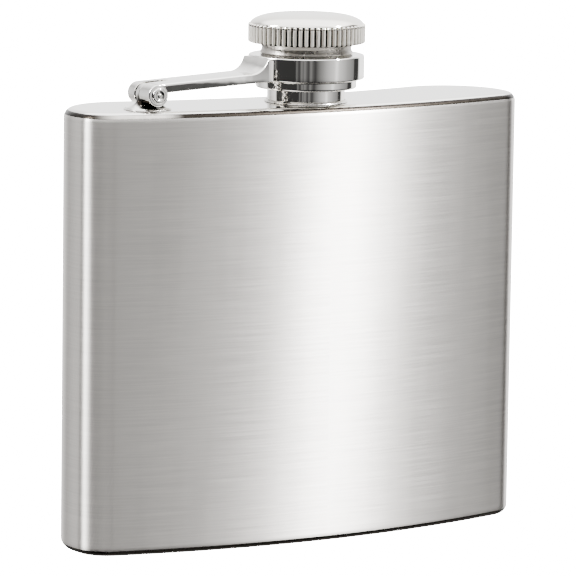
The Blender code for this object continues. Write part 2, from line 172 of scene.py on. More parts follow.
def vectors(tree: Tree, operation: str, *values: Value) -> Socket:
    """Add a Vector Math node, and give its result: a number for a measure, or else a vector."""
    node = add_node(tree, "ShaderNodeVectorMath", {"operation": operation}, dict(enumerate(values)))
    return node.outputs["Value" if operation in MEASURES else "Vector"]


def mixed(tree: Tree, share: Value, first: Value, second: Value, blend: str = "MIX") -> Socket:
    """Mix two colours, by a share of the second."""
    settings = {"data_type": "RGBA", "blend_type": blend}
    return add_node(tree, "ShaderNodeMix", settings, {0: share, 6: first, 7: second}).outputs[2]


def noise(
    tree: Tree,
    place: Socket,
    scale: float,
    detail: float,
    roughness: float = 0.5,
    flat: bool = False,
) -> Socket:
    """Add a noise pattern.

    Args:
        tree: The node tree.
        place: The coordinate that it is laid out on.
        scale: Features per unit of that coordinate.
        detail: How many finer layers it has.
        roughness: How strong those are.
        flat: Whether it has two dimensions and not three.

    Returns:
        The pattern's value.
    """
    links = {"Vector": place, "Scale": scale, "Detail": detail, "Roughness": roughness}
    kind = {"noise_dimensions": "2D" if flat else "3D"}
    return add_node(tree, "ShaderNodeTexNoise", kind, links).outputs[0]


def streaks(tree: Tree, size: Pair, detail: float, roughness: float = 0.5) -> Socket:
    """Add a noise pattern stretched over the sheet's UV map.

    Args:
        tree: The node tree.
        size: A streak's millimetres along U and V.
        detail: How many finer layers it has.
        roughness: How strong those are.

    Returns:
        The pattern's value.
    """
    layout = add_node(tree, "ShaderNodeUVMap", {"uv_map": UV_NAME}).outputs["UV"]
    place = vectors(tree, "MULTIPLY", layout, (UV_SPAN / size[0], UV_SPAN / size[1], 1.0))
    return noise(tree, place, 1.0, detail, roughness, True)


def bumped(tree: Tree, height: Socket, strength: float, depth: float) -> Socket:
    """Turn a pattern into relief of a strength, with its full height in millimetres."""
    links = {"Strength": strength, "Distance": depth * MM, "Height": height}
    return add_node(tree, "ShaderNodeBump", {}, links).outputs[0]


def fill_ramp(node: Node, stops: Sequence[Pair], ease: bool = True) -> None:
    """Set a colour ramp's grey stops.

    Args:
        node: The colour ramp node.
        stops: (position, grey value) pairs in rising order of position.
        ease: Whether the ramp eases between its stops.
    """
    ramp = node.color_ramp
    ramp.interpolation = "EASE" if ease else "LINEAR"
    while len(ramp.elements) < len(stops):
        ramp.elements.new(0.5)
    for element, (position, value) in zip(ramp.elements, stops):
        element.position = position
        element.color = (value, value, value, 1.0)


# Mesh helpers -----------------------------------------------------------------------------------


def rounded(corners: Sequence[Point], steps: int = 6, ring: bool = False) -> list[Pair]:
    """Round the corners of a polyline with arcs.

    Args:
        corners: (x, y, radius) of each corner. A radius of 0 keeps it sharp.
        steps: Segments in each arc.
        ring: Whether the last corner joins the first.

    Returns:
        The points of the rounded line.
    """
    points: list[Pair] = []
    count = len(corners)
    for i, (x, y, radius) in enumerate(corners):
        if radius == 0 or (not ring and i in (0, count - 1)):
            points.append((x, y))
            continue
        here = Vector((x, y))
        before = Vector(corners[i - 1][:2]) - here
        after = Vector(corners[(i + 1) % count][:2]) - here
        half = before.angle(after) / 2
        reach = radius / math.tan(half)
        start = here + before.normalized() * reach
        end = here + after.normalized() * reach
        middle = here + (before.normalized() + after.normalized()).normalized() * radius / math.sin(half)
        first, last = start - middle, end - middle
        sweep = math.atan2(first.x * last.y - first.y * last.x, first.dot(last))
        for k in range(steps + 1):
            t = sweep * k / steps
            c, s = math.cos(t), math.sin(t)
            points.append((middle.x + first.x * c - first.y * s, middle.y + first.x * s + first.y * c))
    return points


def spread(start: float, end: float, count: int) -> list[float]:
    """Evenly spaced values from start to end, both included."""
    return [start + (end - start) * i / count for i in range(count + 1)]


def around(steps: int) -> list[float]:
    """Evenly spaced angles round a full turn."""
    return [2 * math.pi * i / steps for i in range(steps)]


def lofted(name: str, rows: Sequence[Sequence[Point]], ring: bool = False) -> Mesh:
    """Make a closed mesh through rows of equally many points, each row a closed loop.

    Args:
        name: The mesh's name.
        rows: Points in millimetres, row by row.
        ring: Whether the last row joins the first. If not, the first and last rows are capped.

    Returns:
        The mesh, in metres, with a UV map in millimetres over UV_SPAN.
    """
    work = bmesh.new()
    layout = work.loops.layers.uv.new(UV_NAME)
    verts = [[work.verts.new(point) for point in row] for row in rows]
    across = longest_steps(rows)
    along = [0.0]
    closed_rows = list(rows) + ([rows[0]] if ring else [])
    for lower, upper in zip(closed_rows, closed_rows[1:]):
        along.append(along[-1] + math.dist(lower[0], upper[0]))
    pairs = list(zip(verts, verts[1:]))
    if ring:
        pairs.append((verts[-1], verts[0]))
    width = len(rows[0])
    for r, (lower, upper) in enumerate(pairs):
        for i in range(width):
            j = (i + 1) % width
            face = work.faces.new((lower[i], lower[j], upper[j], upper[i]))
            corners = ((across[i], along[r]), (across[i + 1], along[r]))
            corners += ((across[i + 1], along[r + 1]), (across[i], along[r + 1]))
            for loop, (u, v) in zip(face.loops, corners):
                loop[layout].uv = (u / UV_SPAN, v / UV_SPAN)
    if not ring:
        for loop_verts in (verts[0][::-1], verts[-1]):
            face = work.faces.new(loop_verts)
            for loop in face.loops:
                loop[layout].uv = (loop.vert.co.x / UV_SPAN, loop.vert.co.y / UV_SPAN)
    bmesh.ops.recalc_face_normals(work, faces=work.faces)
    bmesh.ops.scale(work, vec=(MM, MM, MM), verts=work.verts)
    mesh = bpy.data.meshes.new(name)
    work.to_mesh(mesh)
    work.free()
    return mesh


def longest_steps(rows: Sequence[Sequence[Point]]) -> list[float]:
    """Distances along the longest row, from its first point round to the first again."""
    best: list[float] = [0.0]
    for row in (rows[0], rows[len(rows) // 2], rows[-1]):
        steps = [0.0]
        for a, b in zip(row, list(row[1:]) + [row[0]]):
            steps.append(steps[-1] + math.dist(a, b))
        if steps[-1] > best[-1]:
            best = steps
    return best


def linked(name: str, data: bpy.types.ID) -> Object:
    """Make an object of its data, and put it in the scene."""
    made = bpy.data.objects.new(name, data)
    bpy.context.scene.collection.objects.link(made)
    return made


def shaded(mesh: Mesh) -> Object:
    """Link a mesh as a smooth object whose real edges stay sharp."""
    mesh.shade_smooth()
    mesh.set_sharp_from_angle(angle=SHARP_ANGLE)
    return linked(mesh.name, mesh)


def combined(piece: Object, operation: str, helper_mesh: Mesh) -> None:
    """Cut a mesh from a piece, or join it to the piece, and apply the result.

    Args:
        piece: The piece that changes.
        operation: DIFFERENCE or UNION.
        helper_mesh: The other mesh, which is used up.
    """
    helper = linked(helper_mesh.name, helper_mesh)
    step = piece.modifiers.new(helper_mesh.name, "BOOLEAN")
    step.operation = operation
    step.object = helper
    bpy.context.view_layer.update()
    evaluated = piece.evaluated_get(bpy.context.evaluated_depsgraph_get())
    made = bpy.data.meshes.new_from_object(evaluated)
    made.name = piece.name
    piece.modifiers.clear()
    piece.data = made
    made.set_sharp_from_angle(angle=SHARP_ANGLE)
    bpy.data.objects.remove(helper, do_unlink=True)


def circle(radius: float, z: float, steps: int, middle: Pair = (0.0, 0.0)) -> list[Point]:
    """Points of a level circle."""
    return [(middle[0] + radius * math.cos(t), middle[1] + radius * math.sin(t), z) for t in around(steps)]


def turned(
    name: str,
    profile: Sequence[Pair],
    middle: Pair,
    floor: float,
    ring: bool = True,
    steps: int = 160,
    swell: Callable[[float, float, float], float] | None = None,
) -> Mesh:
    """Turn a profile round an upright axis.

    Args:
        name: The mesh's name.
        profile: (radius, height) pairs.
        middle: Where the axis stands, in plan.
        floor: What the heights are counted from.
        ring: Whether the profile is closed on itself.
        steps: Points in each level circle.
        swell: Optional change of radius from (radius, angle, height).

    Returns:
        The mesh.
    """
    rows = []
    for radius, height in profile:
        row = []
        for t in around(steps):
            r = radius + (swell(radius, t, height) if swell else 0.0)
            row.append((middle[0] + r * math.cos(t), middle[1] + r * math.sin(t), floor + height))
        rows.append(row)
    return lofted(name, rows, ring)


def drum(name: str, profile: Sequence[Pair], x: float, y: float, z: float, steps: int = 72) -> Mesh:
    """Turn (radius, distance along Y) pairs round an axis along Y, with both ends capped."""
    rows = []
    for radius, along in profile:
        rows.append([(x + radius * math.cos(t), y + along, z + radius * math.sin(t)) for t in around(steps)])
    return lofted(name, rows)


# Finishes ---------------------------------------------------------------------------------------


@dataclass(frozen=True)
class Finish:
    """A metal or rubber surface, from its colour and how it was made."""

    name: str
    colour: str

    def inputs(self, tree: Tree) -> dict[str, Value]:
        """Add the finish's own nodes.

        Args:
            tree: The material's nodes.

        Returns:
            The Principled shader's inputs.
        """
        raise NotImplementedError

    def build(self) -> bpy.types.Material:
        """Make the material.

        Returns:
            The material, with the finish's own nodes behind its Principled shader.
        """
        material = bpy.data.materials.new(self.name)
        material.use_nodes = True
        tree = material.node_tree
        plug(tree, tree.nodes["Principled BSDF"], self.inputs(tree))
        return material


@dataclass(frozen=True)
class BrushedStainless(Finish):
    """Stainless sheet rubbed along its length with a belt: fine level lines that stretch each
    highlight upright, a few longer scratches, and faint upright clouds from the last wipe."""

    roughness: float = 0.41
    roughness_swing: float = 0.05
    anisotropy: float = 1.0
    lines: Pair = (16.0, 0.30)  # length and pitch, drawn coarser than a belt's so that they show
    scratches: Pair = (40.0, 0.9)
    scratch_share: float = 0.15
    line_contrast: Pair = (0.35, 0.8)  # the part of the pattern's range that shows
    clouds: Pair = (7.0, 60.0)
    cloud_contrast: Pair = (0.35, 0.6)
    cloud_depth: float = 0.045
    tone_swing: float = 0.065
    relief: float = 0.1

    def inputs(self, tree: Tree) -> dict[str, Value]:
        """Lines, scratches and clouds laid along the sheet. See Finish.inputs."""
        lines = streaks(tree, self.lines, 3.0, 0.65)
        scratches = streaks(tree, self.scratches, 1.0)
        both = maths(tree, "MULTIPLY_ADD", scratches, self.scratch_share, lines)
        share = ranged(tree, both, self.line_contrast)
        half = self.roughness_swing / 2
        base = linear(self.colour)[:3]
        deep, bright = (
            tuple(min(1.0, c * (1 + swing)) for c in base) + (1.0,)
            for swing in (-self.tone_swing, self.tone_swing)
        )
        clouds = streaks(tree, self.clouds, 2.0)
        clouds = ranged(tree, clouds, self.cloud_contrast, (1 - self.cloud_depth, 1.0), True)
        tangent = add_node(tree, "ShaderNodeTangent", {"direction_type": "UV_MAP", "uv_map": UV_NAME})
        return {
            "Base Color": mixed(tree, 1.0, mixed(tree, share, deep, bright), clouds, "MULTIPLY"),
            "Roughness": ranged(tree, share, (0.0, 1.0), (self.roughness - half, self.roughness + half)),
            "Normal": bumped(tree, lines, self.relief, 0.02),
            "Tangent": tangent.outputs[0],
            "Metallic": 1.0,
            "Anisotropic": self.anisotropy,
            "Anisotropic Rotation": 0.25,  # a quarter turn: the lines run along U
        }


@dataclass(frozen=True)
class BuffedStainless(Finish):
    """Stainless turned or pressed and then buffed on a wheel: mirror bright, with faint patches of
    haze and the slight wave that buffing leaves."""

    roughness: float = 0.05
    wave_pitch: float = 6.0
    wave: float = 0.12
    haze_pitch: float = 1.44
    haze: Pair = (0.5, 1.9)  # the least and most roughness, as shares of the usual one

    def inputs(self, tree: Tree) -> dict[str, Value]:
        """A waved mirror with a little haze. See Finish.inputs."""
        haze = noise(tree, location(tree), 1 / (self.haze_pitch * MM), 4.0, 0.7)
        wave = noise(tree, location(tree), 1 / (self.wave_pitch * MM), 1.0)
        return {
            "Base Color": linear(self.colour),
            "Roughness": ranged(tree, haze, (0.3, 0.75), tuple(self.roughness * s for s in self.haze)),
            "Normal": bumped(tree, wave, self.wave, 0.1),
            "Metallic": 1.0,
        }


# Pressed in a die and buffed by hand: uneven enough that its mirror image breaks into patches.
HAND_BUFFED = BuffedStainless("hand_buffed_pressed_steel", "#EFEDE9", 0.06, wave_pitch=3.6, wave=0.9)
# Turned and left satin: the collar's highlights are soft, and it reads darker than the mirror parts.
SATIN_TURNED = BuffedStainless("satin_turned_stainless_steel", "#A6A29C", 0.3)


@dataclass(frozen=True)
class WeldMetal(Finish):
    """A weld bead dressed on a wheel: duller than the plate beside it, with the bead's small ripples."""

    roughness: float = 0.18
    roughness_swing: Pair = (-0.08, 0.12)
    ripple_pitch: float = 0.7
    relief: float = 0.25

    def inputs(self, tree: Tree) -> dict[str, Value]:
        """Grain in both the relief and the roughness. See Finish.inputs."""
        grain = noise(tree, location(tree), 1 / (self.ripple_pitch * MM), 3.0)
        low, high = (self.roughness + swing for swing in self.roughness_swing)
        return {
            "Base Color": linear(self.colour),
            "Roughness": ranged(tree, grain, (0.3, 0.7), (low, high)),
            "Normal": bumped(tree, grain, self.relief, 0.1),
            "Metallic": 1.0,
        }


@dataclass(frozen=True)
class PaintedShadeSteel(Finish):
    """Steel painted nearly black as shade and dark reflection, and paler round one place or away from it.
    It draws the painted dark reflection lines along the rims and the painted shade at the root of the hinge."""

    # colour is the painted shade or dark reflection; pale is the tone where it gives way
    pale: str = "#B9B5AF"
    roughness: float = 0.27
    pale_at: Point = (-39.0, -9.5, 82.0)
    pale_reach: float = 4.0
    dark_from: float = 9.0
    roughness_swing: Pair = (-0.08, 0.1)
    grain_pitch: float = 1.2

    def inputs(self, tree: Tree) -> dict[str, Value]:
        """Painted dark shade that pales by its distance from one place. See Finish.inputs."""
        place = location(tree)
        away = vectors(tree, "DISTANCE", place, tuple(c * MM for c in self.pale_at))
        share = ranged(tree, away, (self.pale_reach * MM, self.dark_from * MM), smooth=True)
        grain = noise(tree, place, 1 / (self.grain_pitch * MM), 2.0)
        low, high = (self.roughness + swing for swing in self.roughness_swing)
        return {
            "Base Color": mixed(tree, share, linear(self.pale), linear(self.colour)),
            "Roughness": ranged(tree, grain, (0.0, 1.0), (low, high)),
            "Metallic": 1.0,
        }


@dataclass(frozen=True)
class KnurledStainless(Finish):
    """Stainless with pressed grip ridges: satin ridge tops that catch the light from above, painted
    shade dark in the valleys, and a buffed dome that mirrors the room."""

    middle: Pair = (0.0, 0.0)
    # the valleys' colour is painted shade
    painted_valley_shade: str = "#1E1B19"
    valley_radius: float = 10.55
    ridge_radius: float = 10.85
    shoulder: float = 97.3
    dome_edge: Pair = (-0.55, -0.35)  # where the dome's finish begins, from the shoulder
    inner_edge: Pair = (10.2, 10.3)  # inside this radius the cap is buffed as the dome is
    dome_roughness: float = 0.08
    ridge_roughness: float = 0.5

    def inputs(self, tree: Tree) -> dict[str, Value]:
        """Masks by radius and by height. See Finish.inputs."""
        place = location(tree)
        away = vectors(tree, "SUBTRACT", place, (self.middle[0] * MM, self.middle[1] * MM, 0.0))
        radius = vectors(tree, "LENGTH", vectors(tree, "MULTIPLY", away, (1.0, 1.0, 0.0)))
        rise = ranged(tree, radius, (self.valley_radius * MM, self.ridge_radius * MM), smooth=True)
        height = add_node(tree, "ShaderNodeSeparateXYZ", {}, {0: place}).outputs[2]
        low, high = ((self.shoulder + edge) * MM for edge in self.dome_edge)
        dome = ranged(tree, height, (low, high))
        inner = ranged(tree, radius, (self.inner_edge[0] * MM, self.inner_edge[1] * MM), (1.0, 0.0))
        buffed = maths(tree, "MAXIMUM", dome, inner)
        # Below the dome and outside the buffed middle, the valleys take the painted shade colour.
        unshaded = maths(tree, "MAXIMUM", buffed, rise)
        return {
            "Base Color": mixed(tree, unshaded, linear(self.painted_valley_shade), linear(self.colour)),
            "Roughness": ranged(tree, buffed, (0.0, 1.0), (self.ridge_roughness, self.dome_roughness)),
            "Metallic": 1.0,
        }


@dataclass(frozen=True)
class SiliconeRubber(Finish):
    """Moulded silicone: a soft, slightly translucent off-white with a fine matt skin."""

    roughness: float = 0.5
    skin_pitch: float = 0.25
    relief: float = 0.15
    ior: float = 1.41
    scatter: float = 0.15

    def inputs(self, tree: Tree) -> dict[str, Value]:
        """A fine skin over a little scattering. See Finish.inputs."""
        skin = noise(tree, location(tree), 1 / (self.skin_pitch * MM), 3.0)
        return {
            "Base Color": linear(self.colour),
            "Roughness": self.roughness,
            "Normal": bumped(tree, skin, self.relief, 0.05),
            "IOR": self.ior,
            "Subsurface Weight": self.scatter,
            "Subsurface Radius": (MM, MM, MM),
        }


@dataclass
class Dresser:
    """Places finished pieces on the frame, and builds each finish once."""

    finishes: dict[Slot, Finish] = field(default_factory=dict)
    built: dict[str, bpy.types.Material] = field(default_factory=dict)

    def dress(
        self,
        mesh: Mesh | Object,
        body: Body,
        slot: Slot,
        *nodes: str,
        finish: Finish | None = None,
    ) -> Object:
        """Give a piece its finish and put it on the frame in place of its nodes.

        Args:
            mesh: The piece, or its mesh.
            body: The body that it moves with.
            slot: The material slot that it takes its finish from.
            nodes: The frame's nodes that it stands for.
            finish: A finish of its own, in place of the slot's usual one.

        Returns:
            The placed piece.
        """
        piece = shaded(mesh) if isinstance(mesh, Mesh) else mesh
        finish = finish or self.finishes[slot]
        if finish.name not in self.built:
            self.built[finish.name] = finish.build()
        piece.data.materials.clear()
        piece.data.materials.append(self.built[finish.name])
        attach(piece, body.value)
        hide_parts(*nodes)
        LOG.info("%s: %d faces on %s in %s", piece.name, len(piece.data.polygons), body.value, slot.value)
        return piece


# Body -------------------------------------------------------------------------------------------


SEAM_DEPTH, SEAM_HALF_WIDTH = 0.4, 0.45
# Where the plan has points across the upright weld: one pair stands either side of the groove's edge.
SEAM_STATIONS = (-0.62, -0.52, -0.46, -0.44, -0.2, 0.0, 0.2, 0.44, 0.46, 0.52, 0.62)


def seam_groove(distance: float) -> float:
    """Depth of the groove that the upright weld fills, at a distance from its middle."""
    return SEAM_DEPTH if abs(distance) < SEAM_HALF_WIDTH else 0.0


@dataclass
class BodyPlan:
    """The kidney plan: two long arcs, two end arcs and an arc at each corner."""

    width: float = 96.1
    front_y: float = -13.14
    front_radius: float = 167.6
    back_y: float = 8.64
    back_radius: float = 128.7
    end_radius: float = 58.8
    front_corner: float = 6.65
    back_corner: float = 12.4
    least_corner: float = 0.3
    front_steps: int = 56
    corner_steps: int = 26
    end_steps: int = 24
    back_corner_steps: int = 22
    back_steps: int = 40

    def circles(self, inset: float) -> dict[str, tuple[Vector, float]]:
        """Centres and radii of the arcs of one half, for an inset plan.

        Args:
            inset: Distance inside the outer face.

        Returns:
            Each arc's centre and radius by name.
        """
        front = Vector((0.0, self.front_y + self.front_radius))
        back = Vector((0.0, self.back_y + self.back_radius))
        reach = self.width / 2 - 2.0
        front_end = front.y - math.sqrt(self.front_radius**2 - reach**2)
        back_end = back.y - math.sqrt(self.back_radius**2 - reach**2)
        end = Vector((self.width / 2 - self.end_radius, (front_end + back_end) / 2))
        front_r, back_r = self.front_radius - inset, self.back_radius + inset
        end_r = self.end_radius - inset
        tight = max(self.front_corner - inset, self.least_corner)
        wide = max(self.back_corner - inset, self.least_corner)
        p = crossing(front, front_r - tight, end, end_r - tight, lambda v: v.x - v.y / 10)
        q = crossing(back, back_r + wide, end, end_r - wide, lambda v: v.x + v.y / 10)
        return {
            "front": (front, front_r),
            "tight": (p, tight),
            "end": (end, end_r),
            "wide": (q, wide),
            "back": (back, back_r),
        }

    def half(self, inset: float, groove: Callable[[float], float] | None = None) -> list[Pair]:
        """Plan points from the middle of the front, round the +X end, to the middle of the back.

        Args:
            inset: Distance inside the outer face.
            groove: Optional depth at a distance from the middle of the end arc.

        Returns:
            Points in plan.
        """
        arcs = self.circles(inset)
        front, p, end, q, back = (arcs[k][0] for k in ("front", "tight", "end", "wide", "back"))
        leaves_front, meets_end = heading(p - front), heading(p - end)
        leaves_end, meets_back = heading(q - end), heading(back - q)
        if meets_back < leaves_end:
            meets_back += 2 * math.pi
        spans = (
            ("front", -math.pi / 2, leaves_front, self.front_steps),
            ("tight", leaves_front, meets_end, self.corner_steps),
            ("end", meets_end, leaves_end, self.end_steps),
            ("wide", leaves_end, meets_back, self.back_corner_steps),
            ("back", heading(q - back), -math.pi / 2, self.back_steps),
        )
        points: list[Pair] = []
        for name, start, stop, steps in spans:
            middle, radius = arcs[name]
            angles = spread(start, stop, steps)[:-1]
            if name == "end":
                centre = (start + stop) / 2
                near = [centre + s / self.end_radius for s in SEAM_STATIONS]
                angles = [a for a in angles if abs(a - centre) * self.end_radius > SEAM_STATIONS[-1] + 0.3]
                angles = sorted(angles + near)
            for angle in angles:
                depth = groove((angle - (start + stop) / 2) * radius) if groove and name == "end" else 0.0
                reach = radius - depth
                points.append((middle.x + reach * math.cos(angle), middle.y + reach * math.sin(angle)))
        middle, radius = arcs["back"]
        return points + [(0.0, middle.y - radius)]

    def loop(self, inset: float, z: float, groove: Callable[[float], float] | None = None) -> list[Point]:
        """One level loop of the plan.

        Args:
            inset: Distance inside the outer face.
            z: Its height.
            groove: Optional groove in the +X end.

        Returns:
            Points of the loop.
        """
        right = self.half(inset, groove)
        left = [(-x, y) for x, y in reversed(self.half(inset)[1:-1])]
        return [(x, y, z) for x, y in right + left]

    def seam_place(self) -> tuple[Vector, Vector, Vector]:
        """Middle of the +X end's face, its outward direction and the direction along it.

        Returns:
            Point, outward and sideways vectors in plan.
        """
        arcs = self.circles(0.0)
        end, radius = arcs["end"]
        start, stop = heading(arcs["tight"][0] - end), heading(arcs["wide"][0] - end)
        angle = (start + stop) / 2
        outward = Vector((math.cos(angle), math.sin(angle)))
        return end + outward * radius, outward, Vector((-outward.y, outward.x))


def crossing(a: Vector, ra: float, b: Vector, rb: float, prefer: Callable[[Vector], float]) -> Vector:
    """Find where two circles cross.

    Args:
        a: First centre.
        ra: First radius.
        b: Second centre.
        rb: Second radius.
        prefer: Scores the two crossings.

    Returns:
        The crossing that scores higher.
    """
    span = (b - a).length
    along = (ra**2 - rb**2 + span**2) / (2 * span)
    across = math.sqrt(max(ra**2 - along**2, 0.0))
    direction = (b - a) / span
    middle = a + direction * along
    side = Vector((-direction.y, direction.x)) * across
    return max((middle + side, middle - side), key=prefer)


def heading(vector: Vector) -> float:
    """Direction of a plan vector, in radians."""
    return math.atan2(vector.y, vector.x)


@dataclass
class FlaskBody:
    """The wrapped wall with its upright weld, the two end plates and their welds."""

    plan: BodyPlan
    height: float = 82.6
    sheet: float = 0.7
    gap: float = 0.3
    hairline: float = 0.06
    rim_radius: float = 1.8
    rim_steps: int = 12
    wall_edge: float = 1.12
    wall_edge_steps: int = 8
    wall_rows: int = 44
    seam_height: float = 0.7
    flange_depth: float = 3.0
    wave: float = 0.02
    neck_hole: float = 6.5

    def rim_inset(self, depth: float) -> float:
        """How far the rim's rounding has turned in at a depth below an end's face."""
        rise = max(self.rim_radius - depth, 0.0)
        return self.rim_radius - math.sqrt(self.rim_radius**2 - rise**2)

    def flange_inset(self) -> float:
        """Inset of an end plate's locating flange."""
        return self.rim_inset(self.wall_edge) + self.sheet + self.gap

    def wall(self) -> Mesh:
        """Build the wrapped wall, turned in at both edges and very slightly wavy as rolled sheet is.

        Returns:
            The wall's mesh.
        """
        rim, top = self.rim_radius, self.height
        edge: list[Pair] = [(self.rim_inset(self.wall_edge) + 0.12, self.wall_edge)]
        for depth in spread(self.wall_edge + 0.04, rim, self.wall_edge_steps):
            edge.append((self.rim_inset(depth), depth))
        rows = [self.plan.loop(inset, depth) for inset, depth in edge]
        for z in spread(rim, top - rim, self.wall_rows)[1:-1]:
            rows.append([self.waved(point, rim, top - rim) for point in self.plan.loop(0.0, z, seam_groove)])
        rows += [self.plan.loop(inset, top - depth) for inset, depth in reversed(edge)]
        depths = (self.wall_edge, (self.wall_edge + rim) / 2, rim)
        inner = [(self.rim_inset(depth) + self.sheet, depth) for depth in depths]
        rows += [self.plan.loop(inset, top - depth) for inset, depth in inner]
        rows += [self.plan.loop(self.sheet, z) for z in spread(top - rim, rim, 6)[1:-1]]
        rows += [self.plan.loop(inset, depth) for inset, depth in reversed(inner)]
        return lofted("wrapped_wall", rows, ring=True)

    def waved(self, point: Point, low: float, high: float) -> Point:
        """Move a point of the wall in or out by the sheet's wave, which dies away at the wall's edges.

        Args:
            point: A point of the outer face.
            low: The wall's lower edge.
            high: The wall's upper edge.

        Returns:
            The moved point.
        """
        x, y, z = point
        share = math.sin(math.pi * (z - low) / (high - low))
        swell = math.sin(x / 8.3 + 0.6) * math.cos(z / 23.0 + x / 31.0) + 0.6 * math.sin(x / 4.1 - z / 17.0)
        return (x, y - self.wave * swell * share, z)

    def upright_weld(self) -> Mesh:
        """Build the bead in the wall's groove.

        Returns:
            The bead's mesh.
        """
        low, high = self.rim_radius, self.height - self.rim_radius
        middle, outward, sideways = self.plan.seam_place()
        half, root, edge = 0.33, -0.34, -0.03
        outline = [(root, -half, 0.05), (edge, -half, 0.1), (0.0, 0.0, 0.5)]
        outline += [(edge, half, 0.1), (root, half, 0.05)]
        section = rounded(outline, 4, ring=True)
        rows = []
        for z in spread(low + self.hairline, high - self.hairline, 480):
            ripple = 0.012 * math.sin(2 * math.pi * z / 0.8) - 0.012
            row = []
            for out, side in section:
                place = middle + outward * (out + (ripple if out > -0.1 else 0.0)) + sideways * side
                row.append((place.x, place.y, z))
            rows.append(row)
        return lofted("upright_weld", rows)

    def band_weld(self, name: str, height_of: Callable[[float], float]) -> Mesh:
        """Build the bead between the wall's edge and an end plate's rim, flush with the rounding.

        Args:
            name: The mesh's name.
            height_of: Height at a depth below the plate's outer face.

        Returns:
            The bead's mesh.
        """
        low, high = self.wall_edge - 0.02, self.wall_edge - self.seam_height + 0.02
        inner = self.flange_inset() - self.hairline
        line = [(self.rim_inset(depth) + 0.02, depth) for depth in spread(low - 0.03, high + 0.03, 6)]
        line = [(line[0][0] + 0.07, low)] + line + [(line[-1][0] + 0.07, high), (inner, high), (inner, low)]
        return lofted(name, [self.plan.loop(inset, height_of(depth)) for inset, depth in line], ring=True)

    def end_plate(self, name: str, height_of: Callable[[float], float]) -> Mesh:
        """Build an end plate, from its inner face over its locating flange to its outer face.

        Args:
            name: The mesh's name.
            height_of: Height at a depth below the plate's outer face.

        Returns:
            The plate's mesh.
        """
        step = self.flange_inset()
        inner = step + self.sheet
        rim, flange = self.rim_radius, self.rim_radius + self.flange_depth
        edge = self.wall_edge - self.seam_height
        line = [(inner + 1.2, self.sheet), (inner + 0.5, self.sheet), (inner, self.sheet + 0.5)]
        line += [(inner, flange - 0.1), (inner - 0.1, flange), (step + 0.1, flange), (step, flange - 0.1)]
        line += [(step, edge + 0.1), (step, edge), (self.rim_inset(edge - 0.04) + 0.06, edge)]
        for t in spread(math.asin(1 - (edge - 0.04) / rim), math.pi / 2, self.rim_steps):
            line.append((rim * (1 - math.cos(t)), rim * (1 - math.sin(t))))
        line += [(rim + 0.25, 0.0), (rim + 0.9, 0.0)]
        return lofted(name, [self.plan.loop(inset, height_of(depth)) for inset, depth in line])

    def build(self, dresser: Dresser, neck_y: float) -> None:
        """Build and dress every piece of the body.

        Args:
            dresser: Puts the pieces on the frame.
            neck_y: Where the neck's axis stands.
        """
        top, bottom = (lambda depth: self.height - depth), (lambda depth: depth)
        dresser.dress(self.wall(), Body.FLASK, Slot.BRUSHED, "body_shell")
        dresser.dress(self.upright_weld(), Body.FLASK, Slot.WELD, "side_seam_weld")
        # The band welds' dark colours are painted dark reflection lines along the top and bottom rims.
        for side, height_of, colour in (("bottom", bottom, "#8A837A"), ("top", top, "#1C1916")):
            seam = PaintedShadeSteel(f"painted_dark_reflection_{side}_weld", colour)
            weld = self.band_weld(side + "_band_weld", height_of)
            dresser.dress(weld, Body.FLASK, Slot.WELD, side + "_seam_weld", finish=seam)
        base = self.end_plate("base_plate", bottom)
        dresser.dress(base, Body.FLASK, Slot.POLISHED, "bottom_plate")
        crown = shaded(self.end_plate("crown_plate", top))
        rows = [circle(self.neck_hole, z, 96, (0.0, neck_y)) for z in (self.height - 4, self.height + 1)]
        combined(crown, "DIFFERENCE", lofted("neck_hole", rows))
        dresser.dress(crown, Body.FLASK, Slot.POLISHED, "top_plate")


# Neck and cap -----------------------------------------------------------------------------------


@dataclass
class Thread:
    """A rolled thread's ridge on an upright cylinder."""

    crest: float
    pitch: float = 1.8
    low: float = 4.1
    turns: float = 2.5

    def height(self, angle: float, z: float) -> float:
        """Rise of the ridge at an angle and a height, from 0 to 1 of its crest.

        Args:
            angle: Angle round the axis.
            z: Height above the plate.

        Returns:
            The ridge's share of its full rise.
        """
        best = 0.0
        for turn in range(-1, int(self.turns) + 2):
            along = turn + angle / (2 * math.pi)
            if not 0.0 <= along <= self.turns:
                continue
            away = abs(z - self.low - self.pitch * along) / (self.pitch * 0.36)
            if away < 1.0:
                fade = min(1.0, 6 * min(along, self.turns - along))
                best = max(best, fade * (0.5 + 0.5 * math.cos(math.pi * away)))
        return best


